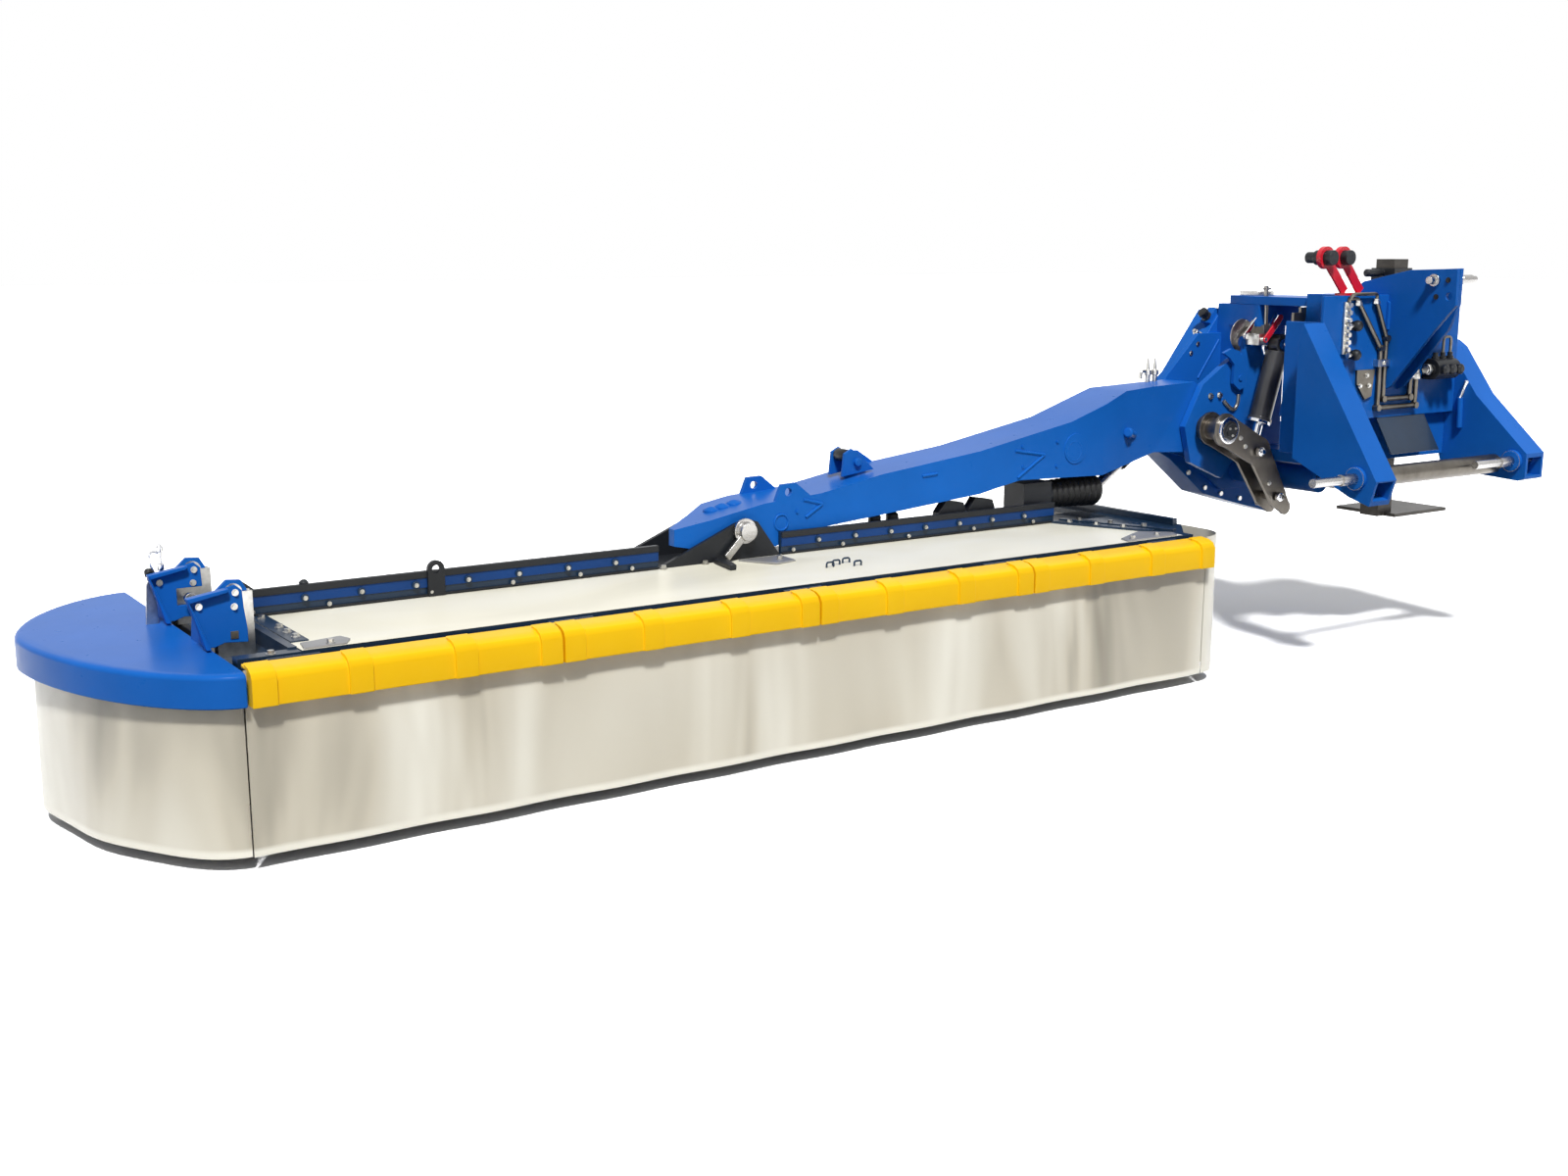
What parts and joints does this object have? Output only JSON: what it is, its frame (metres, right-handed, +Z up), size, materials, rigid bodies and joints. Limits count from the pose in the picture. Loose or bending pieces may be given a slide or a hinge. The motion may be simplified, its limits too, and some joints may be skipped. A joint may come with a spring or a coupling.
{
  "type": "rear mounted disc mower",
  "caption": "Rear three-point-hitch mower: offset headstock and folding lift arm carry a long covered cutter bar with spinning discs, cloth skirts and a yellow front bumper.",
  "frame": {"origin": "Midway between the two lower hitch pins on their common axis.", "axes": "+X from the outer end of the cutter bar toward the headstock, -Y the way of travel, +Z up."},
  "size_m": [4.7216, 1.3296, 1.363],
  "materials": {
    "blue_paint": "glossy mid-blue paint",
    "navy_paint": "dark blue paint",
    "black_paint": "satin black paint",
    "zinc_steel": "zinc-plated steel",
    "bright_chrome": "polished chrome",
    "plain_steel": "worn dark steel",
    "coated_cloth": "cream coated fabric, satin",
    "yellow_plastic": "bright yellow moulded plastic",
    "red_paint": "red paint",
    "black_rubber": "matt black rubber"
  },
  "bodies": {
    "headstock": {"headstock_beam": "blue_paint", "right_hitch_leg": "blue_paint", "left_hitch_leg": "blue_paint", "top_link_mast": "blue_paint", "lower_hitch_pins": "zinc_steel", "top_link_pin": "zinc_steel", "lower_cross_tube": "blue_paint", "shaft_shield": "navy_paint", "hose_rack": "red_paint", "valve_strip": "bright_chrome", "black_fittings": "black_paint", "steel_pipes": "zinc_steel", "parking_collar": "navy_paint", "break_back_pin": "bright_chrome"},
    "parking_leg": {"parking_leg": "zinc_steel"},
    "turret": {"turret_frame": "blue_paint", "drive_casing": "blue_paint", "casing_bolts": "zinc_steel", "drive_belt": "black_rubber", "shutoff_valve": "zinc_steel"},
    "input_shaft": {"input_shaft": "zinc_steel"},
    "output_shaft": {"output_shaft": "zinc_steel"},
    "lift_barrel": {"lift_barrel": "plain_steel"},
    "lift_rod": {"lift_rod": "bright_chrome"},
    "transport_hook": {"transport_hook": "zinc_steel"},
    "valve_lever": {"valve_lever": "red_paint"},
    "lift_arm": {"arm_beam": "blue_paint", "lift_pin": "bright_chrome", "crank_plates": "plain_steel", "bevel_box": "black_paint", "arm_guide": "blue_paint"},
    "shaft_tube": {"shaft_tube": "black_paint"},
    "shaft_slider": {"shaft_slider": "zinc_steel"},
    "mower_bar": {"main_beam": "blue_paint", "pivot_bracket": "black_paint", "bar_pin": "zinc_steel", "cover_rails": "blue_paint", "canopy_frame": "navy_paint", "canopy_canvas": "coated_cloth", "skirt_panels": "coated_cloth", "cutter_bed": "plain_steel", "bar_hangers": "navy_paint", "bar_gearbox": "black_paint", "gearbox_boot": "black_rubber", "bar_fittings": "zinc_steel"},
    "front_guard": {"bumper": "yellow_plastic", "guard_bar": "plain_steel", "front_skirt": "coated_cloth"},
    "end_guard": {"end_cap": "blue_paint", "end_skirt": "coated_cloth", "end_levers": "blue_paint"},
    "latch_pin": {"latch_pin": "black_paint"},
    "disc_1": {"disc_1": "plain_steel"},
    "disc_2": {"disc_2": "plain_steel"},
    "disc_3": {"disc_3": "plain_steel"},
    "disc_4": {"disc_4": "plain_steel"},
    "disc_5": {"disc_5": "plain_steel"},
    "disc_6": {"disc_6": "plain_steel"},
    "disc_7": {"disc_7": "plain_steel"},
    "disc_8": {"disc_8": "plain_steel"}
  },
  "joints": [
    {"name": "parking_leg_slide", "type": "slide", "parent": "headstock", "child": "parking_leg", "axis": [0, 0, 1], "range_m": [-0.43, 0]},
    {"name": "break_back", "type": "hinge", "parent": "headstock", "child": "turret", "pos_m": [0.11, 0.80009, 0.2628], "axis": [0, 0, 1], "range_deg": [-22, 0]},
    {"name": "arm_lift", "type": "hinge", "parent": "turret", "child": "lift_arm", "pos_m": [-0.214, 0.8, 0.093], "axis": [0, 1, 0], "range_deg": [0, 85]},
    {"name": "bar_tilt", "type": "hinge", "parent": "lift_arm", "child": "mower_bar", "pos_m": [-2.167, 0.791, -0.087], "axis": [0, 1, 0], "range_deg": [-2, 8]},
    {"name": "front_guard_hinge", "type": "hinge", "parent": "mower_bar", "child": "front_guard", "pos_m": [-2.25, 0.246, -0.184], "axis": [-1, 0, 0], "range_deg": [0, 100]},
    {"name": "end_guard_hinge", "type": "hinge", "parent": "mower_bar", "child": "end_guard", "pos_m": [-3.69908, 0.62, -0.056], "axis": [0, 1, 0], "range_deg": [0, 90]},
    {"name": "latch_pull", "type": "slide", "parent": "mower_bar", "child": "latch_pin", "axis": [0, -1, 0], "range_m": [0, 0.015], "stiffness_N_per_m": 800, "springref_m": -0.004},
    {"name": "disc_1_spin", "type": "hinge", "parent": "mower_bar", "child": "disc_1", "pos_m": [-1.00008, 0.76, -0.56], "axis": [0, 0, 1], "continuous": true},
    {"name": "disc_2_spin", "type": "hinge", "parent": "mower_bar", "child": "disc_2", "pos_m": [-1.39008, 0.76, -0.56], "axis": [0, 0, 1], "continuous": true},
    {"name": "disc_3_spin", "type": "hinge", "parent": "mower_bar", "child": "disc_3", "pos_m": [-1.78008, 0.76, -0.56], "axis": [0, 0, 1], "continuous": true},
    {"name": "disc_4_spin", "type": "hinge", "parent": "mower_bar", "child": "disc_4", "pos_m": [-2.17008, 0.76, -0.56], "axis": [0, 0, 1], "continuous": true},
    {"name": "disc_5_spin", "type": "hinge", "parent": "mower_bar", "child": "disc_5", "pos_m": [-2.56008, 0.76, -0.56], "axis": [0, 0, 1], "continuous": true},
    {"name": "disc_6_spin", "type": "hinge", "parent": "mower_bar", "child": "disc_6", "pos_m": [-2.95008, 0.76, -0.56], "axis": [0, 0, 1], "continuous": true},
    {"name": "disc_7_spin", "type": "hinge", "parent": "mower_bar", "child": "disc_7", "pos_m": [-3.34008, 0.76, -0.56], "axis": [0, 0, 1], "continuous": true},
    {"name": "disc_8_spin", "type": "hinge", "parent": "mower_bar", "child": "disc_8", "pos_m": [-3.73008, 0.76, -0.56], "axis": [0, 0, 1], "continuous": true},
    {"name": "input_spin", "type": "hinge", "parent": "turret", "child": "input_shaft", "pos_m": [0.16495, 0.6, -0.095], "axis": [0, 1, 0], "continuous": true},
    {"name": "output_spin", "type": "hinge", "parent": "turret", "child": "output_shaft", "pos_m": [-0.214, 0.95, 0.093], "axis": [0, 1, 0], "continuous": true},
    {"name": "cylinder_swing", "type": "hinge", "parent": "turret", "child": "lift_barrel", "pos_m": [0.079, 0.662, 0.377], "axis": [0, 1, 0], "range_deg": [0, 21.2]},
    {"name": "rod_stroke", "type": "slide", "parent": "lift_barrel", "child": "lift_rod", "axis": [-0.2923, 0, -0.9563], "range_m": [0, 0.21]},
    {"name": "shaft_swing", "type": "hinge", "parent": "lift_arm", "child": "shaft_tube", "pos_m": [-0.3313, 0.835, 0.093], "axis": [0, 1, 0], "range_deg": [-21, 6]},
    {"name": "shaft_stroke", "type": "slide", "parent": "shaft_tube", "child": "shaft_slider", "axis": [-0.8849, -0.1766, -0.4309], "range_m": [-0.032, 0.125]},
    {"name": "valve_turn", "type": "hinge", "parent": "turret", "child": "valve_lever", "pos_m": [-0.00794, 0.65, 0.39706], "axis": [0, 1, 0], "range_deg": [-90, 0]},
    {"name": "hook_swing", "type": "hinge", "parent": "turret", "child": "transport_hook", "pos_m": [-0.06496, 0.71, 0.26192], "axis": [0, 1, 0], "range_deg": [0, 35]}
  ],
  "couplings": [
    {"joint": "disc_2_spin", "follows": "disc_1_spin", "ratio": -1},
    {"joint": "disc_3_spin", "follows": "disc_1_spin", "ratio": 1},
    {"joint": "disc_4_spin", "follows": "disc_1_spin", "ratio": -1},
    {"joint": "disc_5_spin", "follows": "disc_1_spin", "ratio": 1},
    {"joint": "disc_6_spin", "follows": "disc_1_spin", "ratio": -1},
    {"joint": "disc_7_spin", "follows": "disc_1_spin", "ratio": 1},
    {"joint": "disc_8_spin", "follows": "disc_1_spin", "ratio": -1},
    {"joint": "input_spin", "follows": "disc_1_spin", "ratio": 1},
    {"joint": "output_spin", "follows": "disc_1_spin", "ratio": 1},
    {"joint": "cylinder_swing", "follows": "arm_lift", "ratio": 0.246},
    {"joint": "rod_stroke", "follows": "arm_lift", "m_per_rad": 0.13872},
    {"joint": "shaft_swing", "follows": "bar_tilt", "ratio": -2.5},
    {"joint": "shaft_stroke", "follows": "bar_tilt", "m_per_rad": 0.85944}
  ]
}
